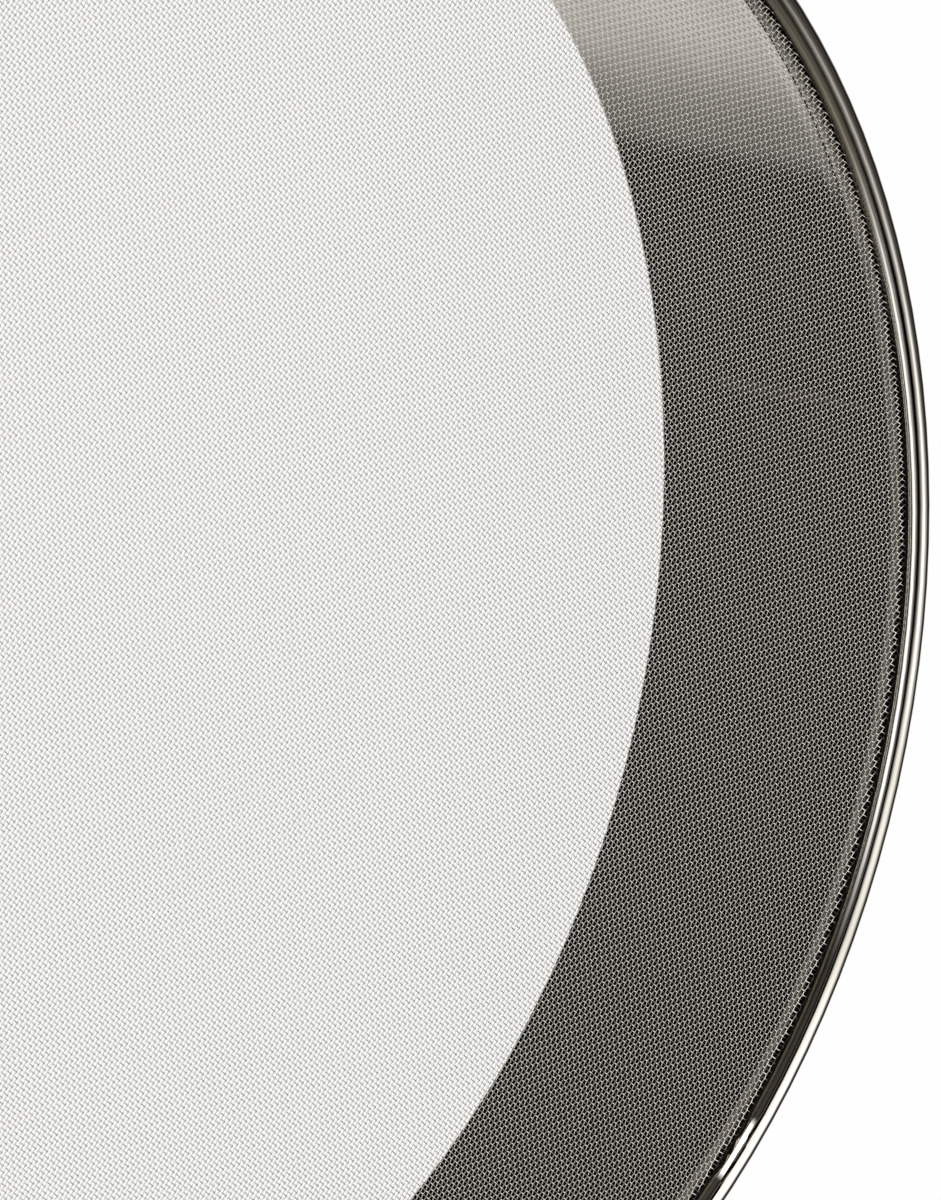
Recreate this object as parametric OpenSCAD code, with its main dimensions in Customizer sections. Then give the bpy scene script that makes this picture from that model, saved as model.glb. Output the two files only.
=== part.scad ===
// Tamis drum sieve: a steel drum with a tightly stretched disc of wire cloth near one end.
// It stands on its open end with the cloth on top. The origin is the centre of the foot,
// +Z points up, and the warp wires of the cloth run along Y.

/* [Drum] */
// Overall diameter, over the rolled edges
drum_d = 250; // [200:5:320]
// Overall height
drum_h = 52; // [40:1:80]
// Thickness of the drum's sheet
sheet_t = 0.6; // [0.5:0.05:0.8]
// Diameter of the wire inside the rolled edge beside the cloth
rim_wire_d = 1.2; // [1.0:0.1:2.0]
// Diameter of the wire inside the rolled edge at the foot
foot_wire_d = 1.2; // [1.0:0.1:2.0]
// Angle that each rolled edge turns through, in degrees
roll_turn = 290; // [250:5:290]
// Depth that the foot's roll is dressed flat
foot_flat = 0.15; // [0.05:0.05:0.3]

/* [Clamp ring] */
// Diameter of the bead along the clamp ring's upper edge
clamp_d = 1.4; // [1.2:0.1:1.8]
// Thickness of the clamp ring's strip below the bead
clamp_t = 0.6; // [0.4:0.05:0.8]
// Width of the groove between the bead and the drum's wall
groove_w = 0.5; // [0.3:0.05:1]
// Direction of the clamp ring's welded joint, in degrees
joint_dir = 356; // [0:1:359]
// Depth that the joint is ground flat
joint_flat = 0.08; // [0.04:0.01:0.12]
// Length of the ground flat along the ring
joint_len = 8; // [4:1:12]
// Lean of the ground flat towards the drum's axis, in degrees
joint_lean = 35; // [0:5:60]

/* [Support ring] */
// Thickness of the support ring's sheet
ring_t = 0.6; // [0.5:0.05:0.8]
// Inside radius of the bends in the support ring
ring_bend = 0.3; // [0.2:0.05:0.5]
// Width of the flat ledge that the cloth lies on
ledge_w = 1.8; // [1.4:0.1:4]
// Height of the outer leg below its bend
leg_h = 6; // [4:0.5:12]
// Height of the inner lip below its bend
lip_h = 2; // [0.5:0.5:4]

/* [Wire cloth] */
// Diameter of one wire of the cloth
wire_d = 0.15; // [0.1:0.01:0.25]
// Distance from the middle of the cloth down to the middle of the rolled edge above it
cloth_drop = 1; // [0.8:0.1:2]
// Wires drawn each way across the cloth, which stand for the hundreds of the real cloth
drawn_wires = 17; // [9:1:17]
// Width that each drawn wire has
drawn_w = 1.2; // [0.8:0.1:2]
// Angle by which the weft is pulled off square, in degrees
weft_lean = 4.5; // [0:0.5:8]
// Width of the pressed border of the cloth inside the clamp ring
border_w = 0.6; // [0.3:0.1:1.5]

/* [Clearances] */
// Gap between the drum's wall and each ring inside it
wall_gap = 0.05; // [0.02:0.01:0.1]
// Gap between the cloth and each ring that it lies on or under
cloth_gap = 0.02; // [0.01:0.01:0.05]
// Gap round the wire inside each rolled edge
wire_gap = 0.02; // [0.01:0.01:0.05]

/* [Hidden] */

// Facets of a full turn about the drum's axis
turn_fn = 144;
// Facets of a round in a cross-section
round_fn = 32;
// Most that one facet turns by in the small bends of the support ring, in degrees
fold_step = 15;
// Most that one corner turns by in the wedge that cuts a roll to its turn, in degrees
wedge_step = 30;
// Spare length by which a cut runs past what it cuts
spare = 1;

// Radii of the two rolled edges, and the radius at which both of their wires lie
rim_roll_r = rim_wire_d / 2 + wire_gap + sheet_t;
foot_roll_r = foot_wire_d / 2 + wire_gap + sheet_t;
roll_r = max(rim_roll_r, foot_roll_r);
wall_in_r = drum_d / 2 - 2 * roll_r;
rim_roll_at = wall_in_r + rim_roll_r;
foot_roll_at = wall_in_r + foot_roll_r;
rim_roll_z = drum_h - rim_roll_r;
foot_roll_z = foot_roll_r - foot_flat;

// Cloth and the rings above and below it
cloth_t = 2 * wire_d;
cloth_z = rim_roll_z - cloth_drop;
cloth_r = wall_in_r - wall_gap;
clamp_at = wall_in_r - groove_w - clamp_d / 2;
clamp_z = drum_h - clamp_d / 2;
clamp_foot_z = cloth_z + cloth_t / 2 + cloth_gap;
clamp_in_r = clamp_at - clamp_t / 2;
border_in_r = clamp_in_r - border_w;

// Bends of the support ring, counted from the wall inwards
bend_r = ring_bend + ring_t;
bend_z = cloth_z - cloth_t / 2 - cloth_gap - bend_r;
leg_bend_at = wall_in_r - wall_gap - bend_r;
lip_bend_at = leg_bend_at - ledge_w;

// A ring about the drum's axis, with the cross-section that is drawn as its child
module turned() {
    rotate_extrude($fn = turn_fn) children();
}

// Cross-section of a sheet rolled round a centre, from one angle to another
module roll_2d(at, z, r_in, t, from, to) {
    far = 4 * (r_in + t);
    steps = ceil((to - from) / wedge_step);
    wedge = [for (i = [0:steps]) let (a = from + (to - from) * i / steps) far * [cos(a), sin(a)]];
    translate([at, z])
        intersection() {
            difference() {
                circle(r = r_in + t, $fn = round_fn);
                circle(r = r_in, $fn = round_fn);
            }
            polygon(concat([[0, 0]], wedge));
        }
}

// Corners along an arc of a cross-section, from one angle to another
function arc(at, z, r, from, to) =
    let (steps = ceil(abs(to - from) / fold_step))
    [for (i = [0:steps]) let (a = from + (to - from) * i / steps) [at + r * cos(a), z + r * sin(a)]];

// Cross-section of one small bend in the support ring's sheet
module fold_2d(at, z, from, to) {
    polygon(concat(arc(at, z, bend_r, from, to), arc(at, z, ring_bend, to, from)));
}

// Straight stretch of a cross-section, given by its lowest and highest corners
module strip_2d(low, high) {
    translate(low) square(high - low);
}

// The drum: one sheet with its two edges rolled outwards round their wires
module drum_hoop() {
    color("#8c8778")
        difference() {
            turned() {
                strip_2d([wall_in_r, foot_roll_z], [wall_in_r + sheet_t, rim_roll_z]);
                roll_2d(rim_roll_at, rim_roll_z, rim_roll_r - sheet_t, sheet_t, 180 - roll_turn, 180);
                roll_2d(foot_roll_at, foot_roll_z, foot_roll_r - sheet_t, sheet_t, 180, 180 + roll_turn);
            }
            translate([0, 0, -spare]) cylinder(h = spare, r = drum_d / 2 + spare, $fn = turn_fn);
        }
}

// A round wire bent into a ring
module wire_ring(at, z, d) {
    turned() translate([at, z]) circle(d = d, $fn = round_fn);
}

// Wire inside the rolled edge beside the cloth
module rim_wire() {
    color("#6f6c66") wire_ring(rim_roll_at, rim_roll_z, rim_wire_d);
}

// Wire inside the rolled edge at the foot
module foot_wire() {
    color("#6f6c66") wire_ring(foot_roll_at, foot_roll_z, foot_wire_d);
}

// Formed ring under the cloth: a flat ledge that the clamp ring presses the cloth against, with
// a leg that fits inside the drum's wall and a lip that keeps its inner edge smooth
module support_ring() {
    leg_out = wall_in_r - wall_gap;
    lip_in = lip_bend_at - bend_r;
    ledge_z = bend_z + ring_bend;
    color("#9a958a")
        turned() {
            strip_2d([lip_in, bend_z - lip_h], [lip_in + ring_t, bend_z]);
            fold_2d(lip_bend_at, bend_z, 90, 180);
            strip_2d([lip_bend_at, ledge_z], [leg_bend_at, ledge_z + ring_t]);
            fold_2d(leg_bend_at, bend_z, 0, 90);
            strip_2d([leg_out - ring_t, bend_z - leg_h], [leg_out, bend_z]);
        }
}

// Angle ring that holds the edge of the cloth down: a foot on the cloth that reaches the wall,
// and a strip with a bead along its upper edge, whose welded joint is ground flat
module clamp_ring() {
    color("#a8a49a")
        difference() {
            turned() {
                strip_2d([clamp_in_r, clamp_foot_z], [wall_in_r - wall_gap, clamp_foot_z + clamp_t]);
                strip_2d([clamp_in_r, clamp_foot_z], [clamp_in_r + clamp_t, clamp_z]);
                translate([clamp_at, clamp_z]) circle(d = clamp_d, $fn = round_fn);
            }
            rotate([0, 0, joint_dir])
                translate([clamp_at, 0, clamp_z])
                    rotate([0, -joint_lean, 0])
                        translate([-clamp_d, -joint_len / 2, clamp_d / 2 - joint_flat])
                            cube([2 * clamp_d, joint_len, spare]);
        }
}

// Straight wires that cross the cloth one way
module wire_rows_2d() {
    pitch = 2 * border_in_r / (drawn_wires + 1);
    for (i = [1:drawn_wires])
        translate([i * pitch - border_in_r, 0])
            square([drawn_w, 2 * cloth_r], center = true);
}

// The wire cloth, as a flat net inside its pressed border
module wire_cloth() {
    color("#b9b6ae")
        translate([0, 0, cloth_z - cloth_t / 2])
            linear_extrude(cloth_t) {
                difference() {
                    circle(r = cloth_r, $fn = turn_fn);
                    circle(r = border_in_r, $fn = turn_fn);
                }
                intersection() {
                    circle(r = border_in_r + border_w / 2, $fn = turn_fn);
                    union() {
                        wire_rows_2d();
                        rotate(90 + weft_lean) wire_rows_2d();
                    }
                }
            }
}

drum_hoop();
rim_wire();
foot_wire();
support_ring();
clamp_ring();
wire_cloth();
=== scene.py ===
"""Looks of a tamis drum sieve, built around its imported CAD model.

The cloth is woven here from real warp and weft wires by Geometry Nodes. The steel pieces keep
their CAD shape and get procedural finishes. Everything is in metres, in the CAD frame.
"""
import logging
import math
from dataclasses import dataclass, field
from enum import Enum

import bpy
from mathutils import Matrix, Vector


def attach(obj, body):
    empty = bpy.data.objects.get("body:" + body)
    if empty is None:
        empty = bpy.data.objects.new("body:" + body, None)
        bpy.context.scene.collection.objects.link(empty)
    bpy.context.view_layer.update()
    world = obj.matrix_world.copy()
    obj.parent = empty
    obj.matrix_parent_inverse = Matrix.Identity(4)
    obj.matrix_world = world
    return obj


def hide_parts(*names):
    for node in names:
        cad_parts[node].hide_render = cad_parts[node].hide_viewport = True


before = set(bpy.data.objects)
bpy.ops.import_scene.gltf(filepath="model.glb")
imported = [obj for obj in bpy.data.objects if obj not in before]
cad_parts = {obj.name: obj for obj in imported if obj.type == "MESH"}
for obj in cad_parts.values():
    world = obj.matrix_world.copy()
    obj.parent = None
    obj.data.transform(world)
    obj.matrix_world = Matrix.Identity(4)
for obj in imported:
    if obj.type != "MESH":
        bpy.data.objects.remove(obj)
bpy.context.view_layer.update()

log = logging.getLogger("tamis")
MM = 0.001
BODY = "root"
CRIMP = "crimp"
LEAST_ROUGH = 0.05
NEARLY_NONE = 1e-12
# Added before rounding down, for a quotient that comes out a hair below a whole number
NUDGE = 1e-4


# Node trees


class Value:
    """A number that flows through a node tree, with the operators that maths on it needs."""

    def __init__(self, tree: "NodeTree", socket: bpy.types.NodeSocket) -> None:
        """Wraps a socket.

        Args:
            tree: the tree that new Math nodes go into.
            socket: the output that carries the number.
        """
        self.tree = tree
        self.socket = socket

    def maths(self, operation: str, *others: "Value | float",
              first: "float | None" = None) -> "Value":
        """Adds a Math node that starts from this value.

        Args:
            operation: the node's operation.
            others: the values or numbers that follow this one.
            first: a number that stands before this value, for a reflected operator.

        Returns:
            The node's result.
        """
        row = [self, *others] if first is None else [first, self, *others]
        node = self.tree.node("ShaderNodeMath", {"operation": operation}, dict(enumerate(row)))
        return Value(self.tree, node.outputs[0])

    def __add__(self, other: "Value | float") -> "Value":
        """Sum."""
        return self.maths("ADD", other)

    __radd__ = __add__

    def __sub__(self, other: "Value | float") -> "Value":
        """Difference."""
        return self.maths("SUBTRACT", other)

    def __rsub__(self, other: float) -> "Value":
        """Difference from a number."""
        return self.maths("SUBTRACT", first=other)

    def __mul__(self, other: "Value | float") -> "Value":
        """Product."""
        return self.maths("MULTIPLY", other)

    __rmul__ = __mul__

    def __truediv__(self, other: "Value | float") -> "Value":
        """Quotient."""
        return self.maths("DIVIDE", other)

    def __mod__(self, other: "Value | float") -> "Value":
        """Remainder of the quotient rounded down."""
        return self.maths("FLOORED_MODULO", other)

    def __neg__(self) -> "Value":
        """The value with its sign turned."""
        return self.maths("MULTIPLY", -1.0)

    def floor(self) -> "Value":
        """Largest whole number that isn't above the value."""
        return self.maths("FLOOR")

    def root(self) -> "Value":
        """Square root."""
        return self.maths("SQRT")

    def size(self) -> "Value":
        """The value without its sign."""
        return self.maths("ABSOLUTE")

    def least(self, other: "Value | float") -> "Value":
        """The smaller of two values."""
        return self.maths("MINIMUM", other)

    def most(self, other: "Value | float") -> "Value":
        """The larger of two values."""
        return self.maths("MAXIMUM", other)

    def above(self, other: "Value | float") -> "Value":
        """1 where the value is above another, else 0."""
        return self.maths("GREATER_THAN", other)

    def step(self, low: float, high: float) -> "Value":
        """Smooth step.

        Args:
            low: where the result is 0.
            high: where the result is 1.

        Returns:
            A value that goes smoothly from 0 to 1.
        """
        node = self.tree.node(
            "ShaderNodeMapRange", {"interpolation_type": "SMOOTHSTEP"},
            {"Value": self, "From Min": low, "From Max": high},
        )
        return Value(self.tree, node.outputs[0])


class NodeTree:
    """A shader or geometry node tree that is built node by node."""

    def __init__(self, tree: bpy.types.NodeTree) -> None:
        """Takes over an empty tree.

        Args:
            tree: the Blender tree to fill.
        """
        self.tree = tree

    def node(self, kind: str, settings: "dict | None" = None,
             inputs: "dict | None" = None) -> bpy.types.Node:
        """Adds one node.

        Args:
            kind: the node's type.
            settings: attributes of the node, set first.
            inputs: values, colours or links, by the socket's name or number.

        Returns:
            The new node.
        """
        made = self.tree.nodes.new(kind)
        for name, value in (settings or {}).items():
            setattr(made, name, value)
        for name, value in (inputs or {}).items():
            socket = made.inputs[name]
            source = value.socket if isinstance(value, Value) else value
            if isinstance(source, bpy.types.NodeSocket):
                self.tree.links.new(source, socket)
            else:
                socket.default_value = source
        return made

    def number(self, kind: str, settings: "dict | None" = None, inputs: "dict | None" = None,
               output: "int | str" = 0) -> Value:
        """Adds one node and wraps one of its outputs.

        Args:
            kind: the node's type.
            settings: attributes of the node.
            inputs: values or links of its sockets.
            output: the socket to wrap.

        Returns:
            The wrapped output.
        """
        return Value(self, self.node(kind, settings, inputs).outputs[output])


class Surface(NodeTree):
    """The node tree of one material."""

    def __init__(self, name: str) -> None:
        """Makes an empty material.

        Args:
            name: the material's name.
        """
        self.material = bpy.data.materials.new(name)
        self.material.use_nodes = True
        self.material.node_tree.nodes.clear()
        super().__init__(self.material.node_tree)
        self.place = self.node("ShaderNodeTexCoord").outputs["Object"]
        parts = self.node("ShaderNodeSeparateXYZ", inputs={0: self.place})
        self.x, self.y, self.z = (Value(self, parts.outputs[i]) for i in range(3))

    def radius(self) -> Value:
        """Distance from the drum's axis."""
        return (self.x * self.x + self.y * self.y).root()

    def angle(self) -> Value:
        """Angle round the drum's axis, in radians."""
        return self.y.maths("ARCTAN2", self.x)

    def vector(self, x: "Value | float", y: "Value | float",
               z: "Value | float") -> bpy.types.NodeSocket:
        """A vector from three values."""
        return self.node("ShaderNodeCombineXYZ", inputs={0: x, 1: y, 2: z}).outputs[0]

    @staticmethod
    def turn(a: Value, edges: "tuple[float, float]") -> Value:
        """Goes from 0 to 1 between two angles round the axis, given in degrees."""
        return a.step(math.radians(edges[0]), math.radians(edges[1]))

    def stretch(self, a: Value, edges: "tuple[float, ...]") -> Value:
        """Marks one stretch of a ring.

        Args:
            a: the angle round the axis, in radians.
            edges: where the stretch starts, is full, starts to fade and is gone, in degrees.

        Returns:
            1 in the stretch and 0 elsewhere.
        """
        return self.turn(a, edges[:2]) - self.turn(a, edges[2:])

    def noise(self, at: bpy.types.NodeSocket, scale: float, detail: float = 2.0,
              rough: float = 0.5) -> Value:
        """Noise around 0.5.

        Args:
            at: the point to read.
            scale: waves per metre.
            detail: octaves above the first.
            rough: strength of the finer octaves.

        Returns:
            The noise.
        """
        return self.number("ShaderNodeTexNoise", inputs={
            "Vector": at, "Scale": scale, "Detail": detail, "Roughness": rough})

    def streaks(self, r: Value, a: Value, across: float, along: float, detail: float,
                rough: float) -> Value:
        """Noise drawn out round the axis, like the marks of a forming tool.

        Args:
            r: distance from the axis.
            a: angle round the axis, in radians.
            across: waves per metre across the marks.
            along: waves per radian along them.
            detail: octaves above the first.
            rough: strength of the finer octaves.

        Returns:
            The noise.
        """
        at = self.vector(r * across, a * along, self.z * across)
        return self.noise(at, 1.0, detail, rough)

    def blend(self, share: "Value | float", first: object, second: object) -> bpy.types.NodeSocket:
        """Mixes two colours.

        Args:
            share: 0 gives the first colour and 1 the second.
            first: a colour or its socket.
            second: a colour or its socket.

        Returns:
            The mixed colour.
        """
        node = self.node("ShaderNodeMix", {"data_type": "RGBA"}, {0: share, 6: first, 7: second})
        return node.outputs[2]

    def bump(self, height: Value, strength: float, distance: float) -> bpy.types.NodeSocket:
        """Turns a height into a normal.

        Args:
            height: the height, from 0 to 1.
            strength: share of the bump that shows.
            distance: metres that a height of 1 stands for.

        Returns:
            The normal.
        """
        node = self.node("ShaderNodeBump", inputs={
            "Strength": strength, "Distance": distance, "Height": height})
        return node.outputs["Normal"]

    def steel(self, **inputs: object) -> bpy.types.Material:
        """Ends the tree in a metal.

        Args:
            inputs: the shader's sockets, with "_" for a space in their names.

        Returns:
            The finished material.
        """
        sockets = {name.replace("_", " "): value for name, value in inputs.items()}
        shader = self.node("ShaderNodeBsdfPrincipled", inputs={"Metallic": 1.0, **sockets})
        self.node("ShaderNodeOutputMaterial", inputs={"Surface": shader.outputs[0]})
        return self.material


# Finishes


def tone(red: float, green: float, blue: float) -> "tuple[float, float, float, float]":
    """A linear colour with its alpha."""
    return (red, green, blue, 1.0)


WHITE = tone(1.0, 1.0, 1.0)


@dataclass(frozen=True)
class RolledSteel:
    """Polished sheet of the drum, stained, with painted light and shade along its rolled edges.

    The outer half of a rolled edge has a painted dark reflection, and the top of the rim's roll a
    painted highlight in two stretches. The side of the rim's roll that faces the groove has painted
    shade in one stretch, and low in the groove it has nearly black painted shade, up to an angle
    past which it is rougher instead. The wall has a soft heat tint inside, beside its welded seam,
    and painted shade outside, in the crevice where the foot's roll comes back to it. Angles round
    the axis are in degrees, and a stretch has four: where it starts, is full, starts to fade and is
    gone.
    """

    name: str = "rolled_steel"
    # Besides the steel's own tones and its heat tint, these are tones of painted highlight, painted
    # dark reflection and painted shade.
    colour: tuple = tone(0.60, 0.57, 0.51)
    worn: tuple = tone(0.50, 0.47, 0.41)
    painted_highlight: tuple = tone(0.90, 0.87, 0.81)
    tint: tuple = tone(0.42, 0.24, 0.17)
    dark_reflection: tuple = tone(0.15, 0.127, 0.11)
    painted_dim: tuple = tone(0.20, 0.185, 0.16)
    painted_shade: tuple = tone(0.04, 0.034, 0.026)
    rough: float = 0.13
    wall_rough: float = 0.08
    rough_spread: float = 0.05
    line_height: float = 0.35e-6
    line_share: float = 0.6
    worn_at: "tuple[float, float]" = (0.35, 0.75)
    tinted_at: "tuple[float, float]" = (0.2, 0.7)
    seam: float = math.radians(50.2)
    seam_width: float = 3.0 * MM
    seam_rough: float = 0.30
    seam_top: float = 44.5 * MM
    seam_fade: float = 3.0 * MM
    seam_skin: "tuple[float, float]" = (122.75 * MM, 122.95 * MM)
    inner_at: "tuple[float, float]" = (123.2 * MM, 123.5 * MM)
    dark_reflection_at: "tuple[float, float]" = (123.55 * MM, 123.95 * MM)
    dark_reflection_shift: float = 0.4 * MM
    dark_reflection_wide: "tuple[float, float]" = (28.0, 62.0)
    painted_highlight_at: "tuple[float, float]" = (51.66 * MM, 51.82 * MM)
    painted_highlight_stretch: "tuple[float, ...]" = (22.0, 42.0, 60.0, 72.0)
    painted_highlight_near: "tuple[float, ...]" = (-50.0, -30.0, 0.0, 14.0)
    painted_dim_at: "tuple[float, float]" = (51.50 * MM, 51.86 * MM)
    painted_dim_stretch: "tuple[float, ...]" = (20.0, 48.0, 60.0, 84.0)
    painted_shade_at: "tuple[float, float]" = (51.05 * MM, 51.60 * MM)
    painted_shade_drop: float = 0.12 * MM
    painted_shade_full: "tuple[float, float]" = (14.0, 34.0)
    painted_shade_fade: "tuple[float, float]" = (54.0, 76.0)
    far_rough: float = 0.35
    groove_low: float = 50.2 * MM
    crevice_in: float = 123.1 * MM
    crevice_out: "tuple[float, float]" = (123.45 * MM, 123.60 * MM)
    crevice_top: "tuple[float, float]" = (2.40 * MM, 2.70 * MM)

    def material(self) -> bpy.types.Material:
        """Builds the finish."""
        s = Surface(self.name)
        r, a = s.radius(), s.angle()
        lines = s.streaks(r, a, 3200.0, 2.0, 2.0, 0.6)
        stain = s.noise(s.place, 34.0, 3.0, 0.55)
        smear = s.streaks(r, a, 60.0, 9.0, 2.0, 0.5)
        inner = 1.0 - r.step(*self.inner_at)
        off_seam = ((a - self.seam) * r + (stain - 0.5) * self.seam_width).size()
        low_wall = 1.0 - s.z.step(self.seam_top, self.seam_top + self.seam_fade)
        low_wall = low_wall * (1.0 - r.step(*self.seam_skin))
        tinted = (1.0 - off_seam.step(0.0, self.seam_width)) * low_wall
        tinted = tinted * stain.step(*self.tinted_at)
        groove = inner * s.z.above(self.groove_low)
        # Painted highlight: a brighter tone on the top of the rim's roll, in two stretches round the
        # axis.
        painted_highlight = s.stretch(a, self.painted_highlight_stretch) + s.stretch(a, self.painted_highlight_near)
        painted_highlight = painted_highlight * s.z.step(*self.painted_highlight_at)
        # Painted shade: a darker tone on the side of the rim's roll that faces the groove, in one
        # stretch round the axis.
        painted_dim = groove * (1.0 - s.z.step(*self.painted_dim_at)) * s.stretch(a, self.painted_dim_stretch)
        # Painted shade, nearly black: low on the side of the rim's roll in the groove, up to an
        # angle past which the roll is rougher instead, and in the crevice where the foot's roll
        # meets the wall.
        drop = (1.0 - s.turn(a, self.painted_shade_full)) * self.painted_shade_drop
        painted_shade = groove * (1.0 - (s.z + drop).step(*self.painted_shade_at))
        far = s.turn(a, self.painted_shade_fade)
        painted_shade = painted_shade * (1.0 - far)
        crevice = r.above(self.crevice_in) * (1.0 - r.step(*self.crevice_out))
        painted_shade = painted_shade.most(crevice * (1.0 - s.z.step(*self.crevice_top)))
        # Painted dark reflection on the outer half of each roll, reaching further in past an angle.
        dark_reflection = (r + s.turn(a, self.dark_reflection_wide) * self.dark_reflection_shift).step(*self.dark_reflection_at)
        colour = s.blend(stain.step(*self.worn_at), self.colour, self.worn)
        colour = s.blend(tinted, colour, self.tint)
        colour = s.blend(painted_highlight, colour, self.painted_highlight)
        colour = s.blend(dark_reflection, colour, self.dark_reflection)
        colour = s.blend(painted_dim, colour, self.painted_dim)
        colour = s.blend(painted_shade, colour, self.painted_shade)
        wall = inner * (1.0 - s.z.above(self.groove_low))
        rough = self.rough - wall * (self.rough - self.wall_rough)
        rough = rough + (lines + smear - 1.0) * self.rough_spread + tinted * self.seam_rough
        rough = rough + groove * far * (1.0 - s.z.step(*self.painted_dim_at)) * self.far_rough
        return s.steel(
            Base_Color=colour, Roughness=rough.most(LEAST_ROUGH),
            Normal=s.bump(lines, self.line_share, self.line_height))


@dataclass(frozen=True)
class DrawnSteel:
    """Round wire with lines of its drawing along its length."""

    name: str
    colour: tuple = tone(0.50, 0.48, 0.43)
    worn: tuple = tone(0.38, 0.36, 0.31)
    worn_at: "tuple[float, float]" = (0.35, 0.8)
    rough: float = 0.18
    rough_spread: float = 0.12
    line_height: float = 0.8e-6
    line_share: float = 0.7

    def material(self) -> bpy.types.Material:
        """Builds the finish."""
        s = Surface(self.name)
        r, a = s.radius(), s.angle()
        lines = s.streaks(r, a, 3400.0, 6.0, 3.0, 0.7)
        stain = s.noise(s.place, 55.0, 2.0, 0.5)
        rough = self.rough + (lines - 0.5) * self.rough_spread
        return s.steel(
            Base_Color=s.blend(stain.step(*self.worn_at), self.colour, self.worn),
            Roughness=rough.most(LEAST_ROUGH),
            Normal=s.bump(lines, self.line_share, self.line_height))


@dataclass(frozen=True)
class BeadSteel:
    """Clamp ring: a painted highlight on its bead in two stretches, and painted shade between.

    The long stretch is a painted highlight, and the short one is the ground joint: polished, with a
    painted highlight too. On one side of the long stretch the bead has painted shade, dark above and
    olive below, and on the other it is painted olive all over. The strip below the bead and the
    groove's side of it have nearly black painted shade, less where the bead is olive all over. A
    stretch has four angles, in degrees: where it starts, is full, starts to fade and is gone.
    """

    name: str = "bead_steel"
    # Tones of the bead's painted highlight and painted shade, and of the painted shade below and
    # beside it.
    bright: tuple = tone(0.84, 0.81, 0.75)
    dark: tuple = tone(0.028, 0.024, 0.02)
    olive: tuple = tone(0.27, 0.24, 0.185)
    side: tuple = tone(0.32, 0.28, 0.215)
    painted_shade: tuple = tone(0.03, 0.026, 0.02)
    bright_rough: float = 0.12
    dull_rough: float = 0.30
    rough_spread: float = 0.05
    painted_highlight: "tuple[float, ...]" = (11.0, 28.0, 58.0, 73.0)
    joint: "tuple[float, ...]" = (-6.0, -5.0, -1.6, -0.6)
    olive_from: "tuple[float, float]" = (54.0, 72.0)
    side_at: "tuple[float, float]" = (51.36 * MM, 51.56 * MM)
    painted_shade_out: "tuple[float, float]" = (121.42 * MM, 121.66 * MM)
    painted_shade_low: "tuple[float, float]" = (50.70 * MM, 50.95 * MM)
    olive_out: float = 0.95
    olive_low: float = 0.6
    bright_share: float = 0.8
    cloud_share: float = 0.5

    def material(self) -> bpy.types.Material:
        """Builds the finish."""
        s = Surface(self.name)
        r, a = s.radius(), s.angle()
        lines = s.streaks(r, a, 3000.0, 3.0, 2.0, 0.6)
        cloud = s.streaks(r, a, 900.0, 14.0, 2.0, 0.5)
        # Painted highlight in the long stretch; the short one is the polished ground joint, with a
        # painted highlight too.
        worn = (s.stretch(a, self.painted_highlight) + s.stretch(a, self.joint)).least(1.0)
        olive = s.turn(a, self.olive_from)
        # Painted shade, nearly black, on the strip below the bead and on its side towards the
        # groove, less where the bead is olive all over.
        low = (1.0 - s.z.step(*self.painted_shade_low)) * (1.0 - olive * self.olive_low)
        painted_shade = (r.step(*self.painted_shade_out) * (1.0 - olive * self.olive_out)).most(low)
        # Painted shade: dark above and olive below on one side of the long stretch, olive all over
        # past an angle.
        painted_dim = s.blend(s.z.step(*self.side_at), self.side, self.dark)
        painted_dim = s.blend(olive, painted_dim, self.olive)
        share = (self.bright_share + cloud * self.cloud_share).least(1.0)
        colour = s.blend(worn * share, painted_dim, self.bright)
        rough = self.dull_rough - worn * (self.dull_rough - self.bright_rough)
        return s.steel(
            Base_Color=s.blend(painted_shade, colour, self.painted_shade),
            Roughness=rough + (lines - 0.5) * self.rough_spread)


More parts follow.
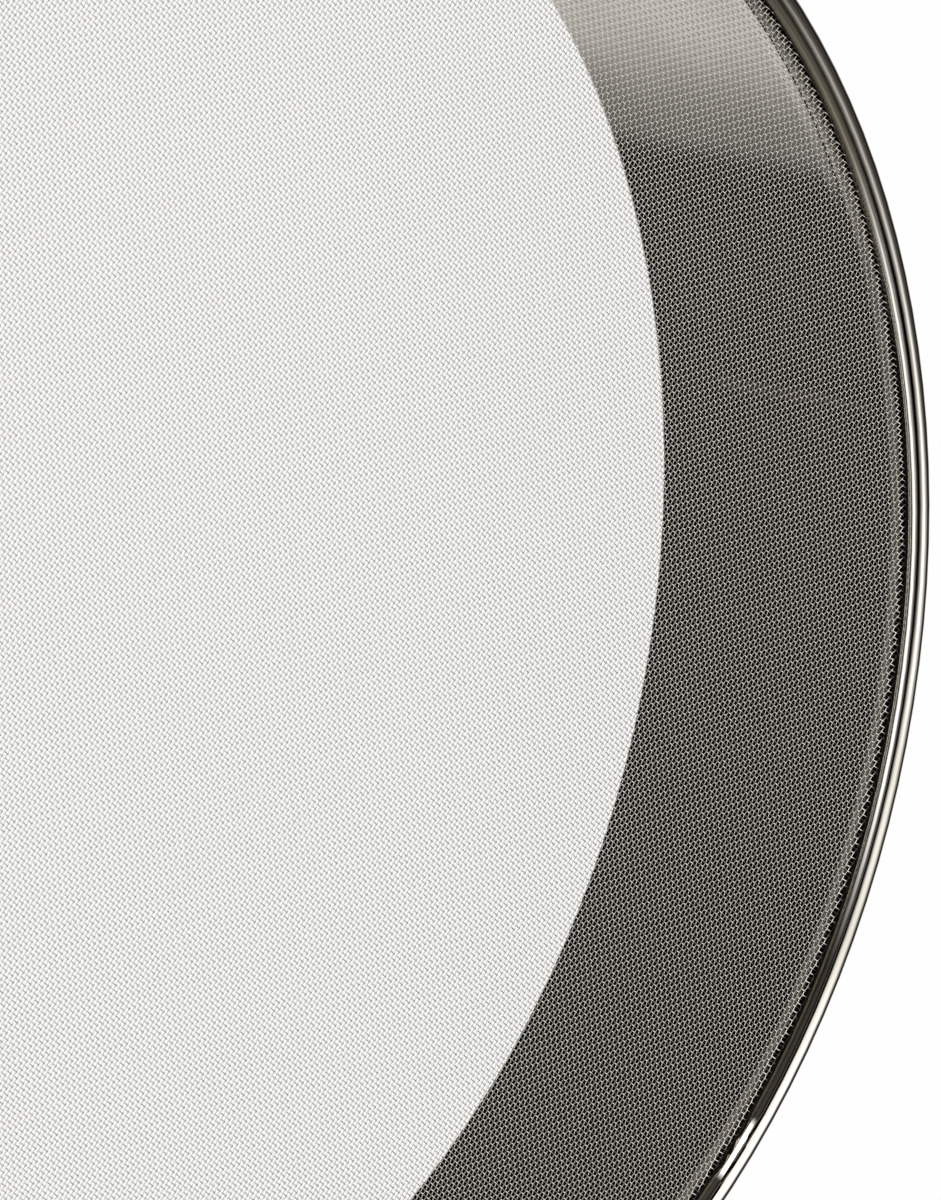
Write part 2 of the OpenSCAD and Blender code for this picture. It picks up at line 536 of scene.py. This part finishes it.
@dataclass(frozen=True)
class FormedSteel:
    """Support ring's sheet: polished on its lip and leg, with painted shade on its bend and ledge.

    The crest along the inner edge of the ledge has a painted highlight. Between two angles, given in
    degrees, the painted shade fades and the bend turns as bright as the lip. Under the clamp ring
    the ledge has nearly black painted shade.
    """

    name: str = "formed_steel"
    polished: tuple = tone(0.60, 0.57, 0.51)
    polished_rough: float = 0.10
    painted_dim: tuple = tone(0.15, 0.137, 0.118)
    worn: tuple = tone(0.11, 0.10, 0.084)
    rough: float = 0.38
    rough_spread: float = 0.10
    line_height: float = 0.8e-6
    line_share: float = 0.6
    worn_at: "tuple[float, float]" = (0.3, 0.8)
    bend_at: "tuple[float, float]" = (48.65 * MM, 48.95 * MM)
    painted_highlight: tuple = tone(0.50, 0.47, 0.41)
    crest_in: "tuple[float, float]" = (119.70 * MM, 119.85 * MM)
    crest_out: "tuple[float, float]" = (120.35 * MM, 120.55 * MM)
    bright_from: "tuple[float, float]" = (60.0, 76.0)
    painted_shade: tuple = tone(0.03, 0.026, 0.02)
    painted_shade_at: "tuple[float, float]" = (120.40 * MM, 120.80 * MM)
    under: float = 49.3 * MM

    def material(self) -> bpy.types.Material:
        """Builds the finish."""
        s = Surface(self.name)
        r, a = s.radius(), s.angle()
        lines = s.streaks(r, a, 4200.0, 5.0, 2.0, 0.6)
        stain = s.noise(s.place, 40.0, 2.0, 0.5)
        # Painted shade over the bend and ledge, which fades out between two angles round the axis.
        dimmed_bend = s.z.step(*self.bend_at) * (1.0 - s.turn(a, self.bright_from))
        # Painted shade, nearly black, on the ledge under the clamp ring.
        painted_shade = r.step(*self.painted_shade_at) * s.z.above(self.under)
        # Painted highlight on the crest along the inner edge of the ledge.
        crest = r.step(*self.crest_in) - r.step(*self.crest_out)
        painted_dim = s.blend(stain.step(*self.worn_at), self.painted_dim, self.worn)
        painted_dim = s.blend(crest, painted_dim, self.painted_highlight)
        colour = s.blend(painted_shade, s.blend(dimmed_bend, self.polished, painted_dim), self.painted_shade)
        rough = self.polished_rough + dimmed_bend * (self.rough - self.polished_rough)
        rough = rough + (lines - 0.5) * self.rough_spread
        return s.steel(
            Base_Color=colour, Roughness=rough.most(LEAST_ROUGH),
            Normal=s.bump(lines, self.line_share, self.line_height))


@dataclass(frozen=True)
class WovenSteel:
    """Fine wire of the cloth, with painted light and shade by its height in the weave.

    It has one painted tone where it passes over another wire and one below, a painted highlight
    along the crease at the rim, and outside that painted shade up to an angle, given in degrees. The
    woven mesh has one ring of corners at each crossing, which is too few for its normals to follow
    the crimp of the wire, so a bump adds the crimp's slope along it.
    """

    name: str
    top: tuple
    low: tuple
    crimp: float
    rough: float
    rough_spread: float = 0.10
    wear: float = 0.18
    wear_at: "tuple[float, float]" = (0.3, 0.75)
    low_at: float = 49.74 * MM
    top_at: float = 49.89 * MM
    crease: tuple = tone(0.95, 0.92, 0.86)
    crease_in: "tuple[float, float]" = (119.60 * MM, 119.90 * MM)
    crease_out: "tuple[float, float]" = (120.40 * MM, 120.65 * MM)
    painted_shade: tuple = tone(0.06, 0.054, 0.045)
    painted_shade_at: "tuple[float, float]" = (120.50 * MM, 120.80 * MM)
    painted_shade_until: "tuple[float, float]" = (46.0, 64.0)
    painted_shade_share: float = 0.8

    def material(self) -> bpy.types.Material:
        """Builds the finish."""
        s = Surface(self.name)
        r = s.radius()
        cloud = s.noise(s.place, 26.0, 3.0, 0.55)
        fine = s.noise(s.place, 900.0, 1.0, 0.5)
        # Painted light and shade: one tone where the wire passes over another and one below.
        high = s.z.step(self.low_at, self.top_at) * (1.0 - cloud.step(*self.wear_at) * self.wear)
        # Painted highlight along the crease where the wires turn up at the rim.
        creased = r.step(*self.crease_in) - r.step(*self.crease_out)
        # Painted shade on the wires at the rim, under the bead, up to an angle round the axis.
        shaded_edge = r.step(*self.painted_shade_at) * (1.0 - s.turn(s.angle(), self.painted_shade_until))
        colour = s.blend(creased, s.blend(high, self.low, self.top), self.crease)
        side = s.number("ShaderNodeAttribute", {"attribute_name": CRIMP}, output="Fac")
        wave = (side * (math.pi / 2)).maths("SINE") * 0.5 + 0.5
        return s.steel(
            Base_Color=s.blend(shaded_edge * self.painted_shade_share, colour, self.painted_shade),
            Roughness=self.rough + (fine - 0.5) * self.rough_spread,
            Normal=s.bump(wave, 1.0, 2 * self.crimp))


# The cloth


class Run(Enum):
    """The two ways that wires run in the cloth."""

    WARP = "warp"
    WEFT = "weft"


@dataclass
class WireCloth:
    """Plain-woven wire cloth, every wire of it real.

    The weft leans off square. Within `loose_share` of the reach the wires wander sideways by up to
    half of `drift`, and from there to the rim they run ever truer. At the rim they turn up. A
    wire's last crossing that lies beyond the reach, by less than the share `overhang` of a pitch,
    is pulled back onto it.
    """

    warp_pitch: float = 0.7478 * MM
    weft_pitch: float = 0.6868 * MM
    lean: float = math.radians(4.53)
    wire: float = 0.15 * MM
    middle: float = 49.78 * MM
    reach: float = 120.95 * MM
    turn_up_at: float = 119.85 * MM
    turn_up: float = 0.42 * MM
    drift: float = 0.4 * MM
    drift_scale: float = 18.0
    drift_seed: float = 3.7
    loose_share: float = 0.8
    overhang: float = 0.97
    sides: int = 4
    most_triangles: int = 190_000
    # Warp and weft are one wire with painted light and shade: the warp is near black where it passes
    # over another wire, as painted shade, and the weft nearly white, as a painted highlight.
    finishes: dict = field(default_factory=lambda: {
        Run.WARP: WovenSteel(
            name="warp_steel", top=tone(0.055, 0.052, 0.046), low=tone(0.66, 0.63, 0.57),
            crimp=0.04 * MM, rough=0.30, low_at=49.83 * MM, top_at=49.90 * MM),
        Run.WEFT: WovenSteel(
            name="weft_steel", top=tone(0.98, 0.94, 0.88), low=tone(0.90, 0.86, 0.79),
            crimp=0.11 * MM, rough=0.28),
    })

    def build(self) -> "list[bpy.types.Object]":
        """Weaves both sets of wires and puts them on the object.

        Returns:
            The pieces.
        """
        pieces = []
        for run in Run:
            tree = self._tree(run, self.finishes[run].material())
            for number, (first, count) in enumerate(self._bands(run), 1):
                pieces.append(self._band(tree, run, number, first, count))
        for piece in pieces:
            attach(piece, BODY)
            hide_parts("wire_cloth")
        return pieces

    def _pitches(self, run: Run) -> "tuple[float, float, float]":
        """Spacing of the wires, spacing of the crossings along a wire, and slope of the crossings.

        Args:
            run: the set of wires.

        Returns:
            The three numbers.
        """
        if run is Run.WARP:
            return self.warp_pitch, self.weft_pitch / math.cos(self.lean), math.tan(self.lean)
        return self.weft_pitch, self.warp_pitch / math.cos(self.lean), -math.tan(self.lean)

    def _bands(self, run: Run) -> "list[tuple[int, int]]":
        """Splits the wires into bands that each stay under the limit of triangles.

        Args:
            run: the set of wires.

        Returns:
            First wire and number of wires of each band.
        """
        pitch, step, _ = self._pitches(run)
        last = int(self.reach / pitch)
        halves = ((i, math.sqrt(self.reach**2 - (i * pitch) ** 2)) for i in range(-last, last + 1))
        # Each crossing is a ring of corners, with two triangles per side up to the next, and the
        # ends of a wire count as three more
        triangles = [(i, (2 * half / step + 3) * self.sides * 2) for i, half in halves]
        total = sum(n for _, n in triangles)
        bands = math.ceil(total / self.most_triangles)
        share = total / bands
        groups: "list[list[int]]" = [[] for _ in range(bands)]
        done = 0.0
        for i, n in triangles:
            groups[min(int((done + n / 2) / share), bands - 1)].append(i)
            done += n
        return [(g[0], len(g)) for g in groups]

    def _tree(self, run: Run, material: bpy.types.Material) -> bpy.types.NodeTree:
        """Geometry Nodes that weave one band of wires.

        Args:
            run: the set of wires.
            material: the wires' finish.

        Returns:
            The node group.
        """
        group = bpy.data.node_groups.new(f"{run.value}_wires", "GeometryNodeTree")
        face = group.interface
        face.new_socket("Geometry", in_out="OUTPUT", socket_type="NodeSocketGeometry")
        for name, kind in (
            ("First Wire", "Int"), ("Wires", "Int"), ("Crossings", "Int"), ("Wire Pitch", "Float"),
            ("Crossing Pitch", "Float"), ("Slope", "Float"), ("Wire Radius", "Float"),
            ("Reach", "Float"), ("Seed", "Float"),
        ):
            face.new_socket(name, in_out="INPUT", socket_type=f"NodeSocket{kind}")
        t = NodeTree(group)
        given = t.node("NodeGroupInput")
        take = {s.name: Value(t, s) for s in given.outputs if s.name}
        rows = t.node("GeometryNodeMeshLine", inputs={
            "Count": take["Wires"], "Offset": (0.0, 0.0, 0.0)})
        line = t.node("GeometryNodeMeshLine", inputs={
            "Count": take["Crossings"], "Offset": (0.0, 1.0, 0.0)})
        spread = t.node("GeometryNodeInstanceOnPoints", inputs={
            "Points": rows.outputs[0], "Instance": line.outputs[0]})
        real = t.node("GeometryNodeRealizeInstances", inputs={0: spread.outputs[0]})
        index = t.number("GeometryNodeInputIndex")
        row = (index / take["Crossings"] + NUDGE).floor()
        along = index - row * take["Crossings"]
        wire = row + take["First Wire"]
        crossing = along - (take["Crossings"] / 2).floor()
        x = wire * take["Wire Pitch"]
        y = crossing * take["Crossing Pitch"] + x * take["Slope"]
        half = (take["Reach"] * take["Reach"] - x * x).most(NEARLY_NONE).root()
        outside = y.size().above(half + take["Crossing Pitch"] * self.overhang)
        y_kept = y.least(half).most(-half)
        sign = 1.0 if run is Run.WARP else -1.0
        parity = (1.0 - ((wire + crossing) % 2.0).floor() * 2.0) * sign
        r = (x * x + y_kept * y_kept).root()
        z = parity * (self.wire * 0.5) + self.middle
        z = z + r.step(self.turn_up_at, self.reach) * self.turn_up
        loose = 1.0 - r.step(self.loose_share * self.reach, self.turn_up_at)
        loose = loose * self.drift
        if run is Run.WEFT:
            sine, cosine = math.sin(self.lean), math.cos(self.lean)
            x, y_kept = x * sine + y_kept * cosine, y_kept * sine - x * cosine
        place = t.node("ShaderNodeCombineXYZ", inputs={0: x, 1: y_kept, 2: z})
        drift = t.node("ShaderNodeTexNoise", {"noise_dimensions": "4D"}, {
            "Vector": place.outputs[0], "W": take["Seed"], "Scale": self.drift_scale, "Detail": 2.0})
        centred = t.node("ShaderNodeVectorMath", {"operation": "SUBTRACT"}, {
            0: drift.outputs["Color"], 1: (0.5, 0.5, 0.5)})
        flat = t.node("ShaderNodeCombineXYZ", inputs={0: loose, 1: loose, 2: 0.0})
        shift = t.node("ShaderNodeVectorMath", {"operation": "MULTIPLY"}, {
            0: centred.outputs[0], 1: flat.outputs[0]})
        moved = t.node("ShaderNodeVectorMath", {"operation": "ADD"}, {
            0: place.outputs[0], 1: shift.outputs[0]})
        held = t.node("GeometryNodeSetPosition", inputs={
            "Geometry": real.outputs[0], "Position": moved.outputs[0]})
        marked = t.node("GeometryNodeStoreNamedAttribute", {
            "data_type": "FLOAT", "domain": "POINT"}, {
            "Geometry": held.outputs[0], "Name": CRIMP, "Value": parity})
        kept = t.node("GeometryNodeDeleteGeometry", {"domain": "POINT"}, {
            "Geometry": marked.outputs[0], "Selection": outside})
        curves = t.node("GeometryNodeMeshToCurve", inputs={"Mesh": kept.outputs[0]})
        profile = t.node("GeometryNodeCurvePrimitiveCircle", {"mode": "RADIUS"}, {
            "Resolution": self.sides, "Radius": take["Wire Radius"]})
        tubes = t.node("GeometryNodeCurveToMesh", inputs={
            "Curve": curves.outputs[0], "Profile Curve": profile.outputs[0], "Fill Caps": True})
        smooth = t.node("GeometryNodeSetShadeSmooth", inputs={"Geometry": tubes.outputs[0]})
        whole = t.node("GeometryNodeRealizeInstances", inputs={0: smooth.outputs[0]})
        dressed = t.node("GeometryNodeSetMaterial", inputs={
            "Geometry": whole.outputs[0], "Material": material})
        t.node("NodeGroupOutput", inputs={0: dressed.outputs[0]})
        return group

    def _band(self, tree: bpy.types.NodeTree, run: Run, number: int, first: int,
              count: int) -> bpy.types.Object:
        """Weaves one band as a plain mesh.

        Args:
            tree: the node group of this set of wires.
            run: the set of wires.
            number: number of the band, from 1.
            first: first wire of the band.
            count: wires in the band.

        Returns:
            The piece.
        """
        pitch, step, slope = self._pitches(run)
        # An odd number, so that one crossing lies in the middle of the wire
        crossings = 2 * int(self.reach * (1 + abs(slope)) / step + 2) + 1
        sizes = {
            "First Wire": first, "Wires": count, "Crossings": crossings, "Wire Pitch": pitch,
            "Crossing Pitch": step, "Slope": slope, "Wire Radius": self.wire / 2,
            "Reach": self.reach, "Seed": self.drift_seed,
        }
        return evaluated(f"{run.value}_wires_{number}", tree, sizes)


def evaluated(name: str, tree: bpy.types.NodeTree, sizes: "dict[str, object]") -> bpy.types.Object:
    """Runs a geometry node group once and keeps its result as a plain mesh.

    Args:
        name: name of the new piece.
        tree: the node group.
        sizes: values of its inputs, by name.

    Returns:
        The piece, with no modifier left.
    """
    holder = bpy.data.objects.new(f"{name}_nodes", bpy.data.meshes.new(f"{name}_nodes"))
    bpy.context.scene.collection.objects.link(holder)
    modifier = holder.modifiers.new("nodes", "NODES")
    modifier.node_group = tree
    sockets = {s.name: s.identifier for s in tree.interface.items_tree if s.in_out == "INPUT"}
    for label, value in sizes.items():
        modifier[sockets[label]] = value
    depsgraph = bpy.context.evaluated_depsgraph_get()
    mesh = bpy.data.meshes.new_from_object(holder.evaluated_get(depsgraph), depsgraph=depsgraph)
    mesh.name = name
    bpy.data.objects.remove(holder)
    piece = bpy.data.objects.new(name, mesh)
    bpy.context.scene.collection.objects.link(piece)
    return piece


# The steel pieces


@dataclass
class SteelPieces:
    """The drum, its wires and the rings: CAD shapes with their finishes."""

    finishes: dict = field(default_factory=lambda: {
        "drum_hoop": RolledSteel(),
        "clamp_ring": BeadSteel(),
        "support_ring": FormedSteel(),
        "rim_wire": DrawnSteel(name="rim_wire_steel"),
        "foot_wire": DrawnSteel(name="foot_wire_steel"),
    })

    def dress(self) -> "list[bpy.types.Object]":
        """Gives each CAD node its finish.

        Returns:
            The nodes.
        """
        dressed = []
        for node, finish in self.finishes.items():
            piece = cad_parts[node]
            material = finish.material()
            if not piece.material_slots:
                piece.data.materials.append(material)
            for held in piece.material_slots:
                held.material = material
            dressed.append(piece)
        return dressed


# The studio


@dataclass(frozen=True)
class Glow:
    """A round patch of light in the room.

    Angles are in degrees. The heading runs counter-clockwise from the way that the camera looks.
    The patch has its full strength up to one angle from its middle and is gone at the other.
    """

    heading: float
    height: float
    full: float
    gone: float
    strength: float = 1.0


@dataclass
class Room:
    """The light all round the drum: soft boxes above and at both sides, and a dark camera side.

    The steel mirrors the room below the drum too: the share `well` of the light is missing there,
    and beyond it lies a white sheet. A level comes in smoothly between two values of how far the
    direction points ahead (`before_at`, `sheet_rim_at`, `sheet_at`) or down (`well_at`,
    `sheet_below`).
    """

    ahead: float = 24.673
    boxes: "tuple[Glow, ...]" = (
        Glow(150.0, 82.0, 12.0, 66.0, 1.55),
        Glow(112.0, 46.0, 14.0, 52.0, 1.70),
        Glow(114.0, 14.0, 16.0, 36.0, 2.20),
        Glow(-112.0, 52.0, 8.0, 44.0, 1.25),
        Glow(-102.0, 26.0, 6.0, 34.0, 0.70),
    )
    flag: Glow = Glow(-42.0, 48.0, 10.0, 40.0, 0.85)
    horizon: Glow = Glow(-25.0, -8.0, 5.0, 34.0, 0.12)
    behind: float = 0.018
    before: float = 0.085
    before_at: "tuple[float, float]" = (-0.3, 0.7)
    well: float = 0.85
    well_at: "tuple[float, float]" = (0.25, 0.60)
    sheet_rim: float = 0.22
    sheet_rim_at: "tuple[float, float]" = (-0.11, -0.05)
    sheet: float = 0.64
    sheet_at: "tuple[float, float]" = (-0.05, 0.24)
    sheet_below: "tuple[float, float]" = (0.30, 0.50)

    def build(self) -> None:
        """Lights the room, which shows white to the camera."""
        world = bpy.data.worlds.new("room")
        world.use_nodes = True
        world.node_tree.nodes.clear()
        bpy.context.scene.world = world
        t = NodeTree(world.node_tree)
        direction = t.node("ShaderNodeTexCoord").outputs["Generated"]
        toward = t.node("ShaderNodeSeparateXYZ", inputs={0: direction})
        x, y, up = (Value(t, toward.outputs[i]) for i in range(3))
        turn = math.radians(self.ahead)
        forward = x * math.cos(turn) + y * math.sin(turn)
        left = y * math.cos(turn) - x * math.sin(turn)
        light, *others = (self._patch(box, forward, left, up) for box in self.boxes)
        for other in others:
            light = light.most(other)
        light = light * (1.0 - self._patch(self.flag, forward, left, up))
        light = light + self._patch(self.horizon, forward, left, up)
        light = light + forward.step(*self.before_at) * (self.before - self.behind) + self.behind
        light = light * (1.0 - (-up).step(*self.well_at) * self.well)
        path = t.node("ShaderNodeLightPath")
        sheet = forward.step(*self.sheet_rim_at) * self.sheet_rim
        sheet = sheet + forward.step(*self.sheet_at) * self.sheet
        below = sheet * (-up).step(*self.sheet_below)
        white = below.most(Value(t, path.outputs["Is Camera Ray"]))
        strength = light + white * (1.0 - light)
        back = t.node("ShaderNodeBackground", inputs={"Color": WHITE, "Strength": strength})
        t.node("ShaderNodeOutputWorld", inputs={"Surface": back.outputs[0]})

    @staticmethod
    def _patch(glow: Glow, forward: Value, left: Value, up: Value) -> Value:
        """Lights one patch.

        Args:
            glow: the patch.
            forward: how far the direction points the way that the camera looks.
            left: how far it points to the left of that.
            up: how far it points up.

        Returns:
            The patch's strength in this direction.
        """
        h, e = math.radians(glow.heading), math.radians(glow.height)
        level = forward * math.cos(h) + left * math.sin(h)
        along = level * math.cos(e) + up * math.sin(e)
        gone, full = math.cos(math.radians(glow.gone)), math.cos(math.radians(glow.full))
        return along.step(gone, full) * glow.strength


@dataclass
class Floor:
    """Round pale floor, which looks white but keeps the drum's shadow.

    Its disc inside the drum isn't mirrored by the steel, because the photograph's drum has a dark
    wall inside: there the steel mirrors the room.
    """

    inner: float = 123.8 * MM
    outer: float = 4.5
    corners: int = 96
    paper: tuple = tone(0.8, 0.8, 0.79)
    white_share: float = 0.97

    def build(self) -> None:
        """Lays both parts of the floor."""
        material = self._material()
        n = self.corners
        turns = [math.tau * i / n for i in range(n)]
        rings = (self.inner, self.outer)
        points = [(r * math.cos(a), r * math.sin(a), 0.0) for r in rings for a in turns]
        around = [(i, n + i, n + (i + 1) % n, (i + 1) % n) for i in range(n)]
        self._lay("floor", points, around, material)
        inside = self._lay("floor_inside", points[:n], [tuple(range(n))], material)
        inside.visible_glossy = False

    @staticmethod
    def _lay(name: str, points: "list[tuple]", faces: "list[tuple]",
             material: bpy.types.Material) -> bpy.types.Object:
        """Lays one part of the floor.

        Args:
            name: its name.
            points: its corners.
            faces: its faces, seen from above counter-clockwise.
            material: its finish.

        Returns:
            The part.
        """
        mesh = bpy.data.meshes.new(name)
        mesh.from_pydata(points, [], faces)
        mesh.materials.append(material)
        part = bpy.data.objects.new(name, mesh)
        bpy.context.scene.collection.objects.link(part)
        return part

    def _material(self) -> bpy.types.Material:
        """Builds the floor's finish."""
        s = Surface("floor_paper")
        plain = s.node("ShaderNodeBsdfDiffuse", inputs={"Color": self.paper})
        white = s.node("ShaderNodeEmission", inputs={"Color": WHITE, "Strength": 1.0})
        path = s.node("ShaderNodeLightPath")
        camera, glossy, through = (
            Value(s, path.outputs[f"Is {ray} Ray"]) for ray in ("Camera", "Glossy", "Transmission"))
        seen = camera.most(glossy).most(through)
        mixed = s.node("ShaderNodeMixShader", inputs={
            0: seen * self.white_share, 1: plain.outputs[0], 2: white.outputs[0]})
        s.node("ShaderNodeOutputMaterial", inputs={"Surface": mixed.outputs[0]})
        return s.material


@dataclass
class Camera:
    """The camera at the photograph's viewpoint, with angles in degrees."""

    aim: Vector = field(default_factory=lambda: Vector((19.456, 22.496, 49.78)) * MM)
    heading: float = 25.227
    depression: float = 42.356
    roll: float = -102.206
    distance: float = 1.72405
    lens: float = 367.565
    sensor: float = 36.0
    clip: "tuple[float, float]" = (0.01, 50.0)

    def build(self) -> None:
        """Places the camera."""
        data = bpy.data.cameras.new("camera")
        data.lens = self.lens
        data.sensor_fit = "AUTO"
        data.sensor_width = self.sensor
        data.clip_start, data.clip_end = self.clip
        camera = bpy.data.objects.new("camera", data)
        bpy.context.scene.collection.objects.link(camera)
        h, d = math.radians(self.heading), math.radians(self.depression)
        ahead = Vector((math.cos(d) * math.cos(h), math.cos(d) * math.sin(h), -math.sin(d)))
        level = ahead.cross(Vector((0.0, 0.0, 1.0))).normalized()
        upright = level.cross(ahead)
        turn = math.radians(self.roll)
        up = upright * math.cos(turn) + level * math.sin(turn)
        right = ahead.cross(up)
        turned = Matrix((right, up, -ahead)).transposed().to_4x4()
        camera.matrix_world = Matrix.Translation(self.aim - ahead * self.distance) @ turned
        bpy.context.scene.camera = camera


def main() -> None:
    """Builds the object and the studio, and reports each piece."""
    logging.basicConfig(level=logging.INFO, format="%(message)s")
    for part in (Floor(), Room(), Camera()):
        part.build()
    bpy.context.scene.view_settings.view_transform = "Standard"
    pieces = SteelPieces().dress() + WireCloth().build()
    for piece in pieces:
        low = min(v.co.z for v in piece.data.vertices) / MM
        log.info("%s: %d faces, lowest point %.2f mm", piece.name, len(piece.data.polygons), low)


if __name__ == "__main__":
    main()
